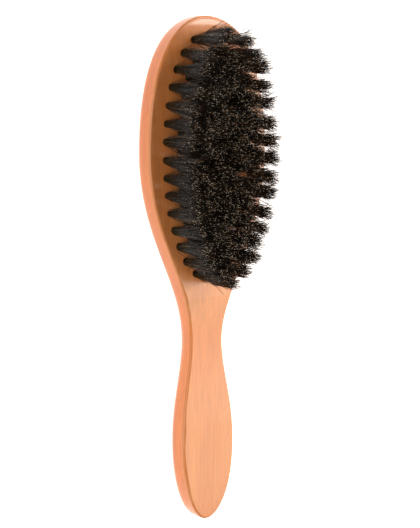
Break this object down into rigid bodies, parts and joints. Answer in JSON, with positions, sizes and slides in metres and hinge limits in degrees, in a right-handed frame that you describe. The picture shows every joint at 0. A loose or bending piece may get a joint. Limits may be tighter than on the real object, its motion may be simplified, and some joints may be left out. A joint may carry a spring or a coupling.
{
  "type": "beard brush",
  "caption": "Handled beard brush: one-piece wooden body with a flat oval head, waisted handle and a dense field of dark natural bristle tufts.",
  "frame": {"origin": "middle of the bottom of the bounding box, on the plane that the brush's back lies on", "axes": "+Z is the way the bristles point, +Y runs along the brush from the handle's tip to the head's crown, +X is across the head"},
  "size_m": [0.0556, 0.2, 0.0316],
  "materials": {
    "wood": "satin clear lacquer on beech, fine lengthwise grain",
    "bristle": "dark boar bristle, slightly glossy shafts with paler split tips",
    "anchor_wire": "flat drawn wire"
  },
  "bodies": {
    "root": {"anchor_wires": "anchor_wire", "brush_body": "wood", "centre_tufts": "bristle", "outer_tufts_01": "bristle", "outer_tufts_02": "bristle", "outer_tufts_03": "bristle", "outer_tufts_04": "bristle", "outer_tufts_05": "bristle", "outer_tufts_06": "bristle", "outer_tufts_07": "bristle", "outer_tufts_08": "bristle", "outer_tufts_09": "bristle", "outer_tufts_10": "bristle", "outer_tufts_11": "bristle", "outer_tufts_12": "bristle", "outer_tufts_13": "bristle", "outer_tufts_14": "bristle", "outer_tufts_15": "bristle", "outer_tufts_16": "bristle", "outer_tufts_17": "bristle", "second_tufts_01": "bristle", "second_tufts_02": "bristle", "second_tufts_03": "bristle", "second_tufts_04": "bristle", "second_tufts_05": "bristle", "second_tufts_06": "bristle", "second_tufts_07": "bristle", "second_tufts_08": "bristle", "second_tufts_09": "bristle", "second_tufts_10": "bristle", "second_tufts_11": "bristle", "second_tufts_12": "bristle", "second_tufts_13": "bristle", "second_tufts_14": "bristle", "third_tufts_01": "bristle", "third_tufts_02": "bristle", "third_tufts_03": "bristle", "third_tufts_04": "bristle", "third_tufts_05": "bristle", "third_tufts_06": "bristle", "third_tufts_07": "bristle", "third_tufts_08": "bristle", "third_tufts_09": "bristle", "third_tufts_10": "bristle", "third_tufts_11": "bristle", "third_tufts_12": "bristle"}
  },
  "joints": []
}
